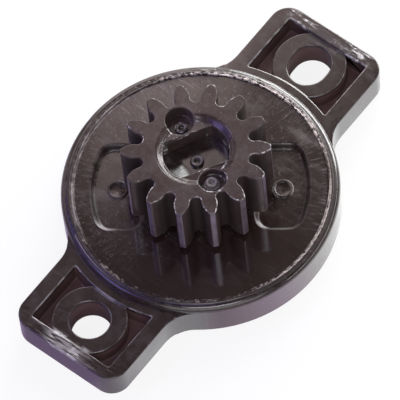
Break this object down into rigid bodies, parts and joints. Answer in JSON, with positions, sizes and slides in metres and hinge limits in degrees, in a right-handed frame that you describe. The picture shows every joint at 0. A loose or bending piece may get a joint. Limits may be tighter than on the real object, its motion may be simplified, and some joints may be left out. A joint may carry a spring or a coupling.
{
  "type": "rotary damper",
  "caption": "Flat round viscous damper in dark glossy plastic, with two fixing ears and a spur gear that turns against grease to slow a lid or drawer.",
  "frame": {"origin": "on the axis of the round body, at the mounting face", "axes": "+Z along the gear's axis, away from the mounting face; +X towards the slotted ear"},
  "size_m": [0.048, 0.03, 0.0126],
  "materials": {
    "housing_plastic": "glossy moulded, near black with a warm brown cast",
    "cover_plastic": "glossy moulded, with fine radial marks towards the weld",
    "seal_rubber": "matt black",
    "rotor_plastic": "moulded, semi-gloss",
    "gear_plastic": "moulded, semi-gloss"
  },
  "bodies": {
    "case": {"housing": "housing_plastic", "cover": "cover_plastic", "o_ring": "seal_rubber"},
    "spindle": {"rotor": "rotor_plastic", "gear": "gear_plastic"}
  },
  "joints": [
    {"name": "gear_spin", "type": "hinge", "parent": "case", "child": "spindle", "pos_m": [0, 0, 0], "axis": [0, 0, 1], "continuous": true}
  ]
}
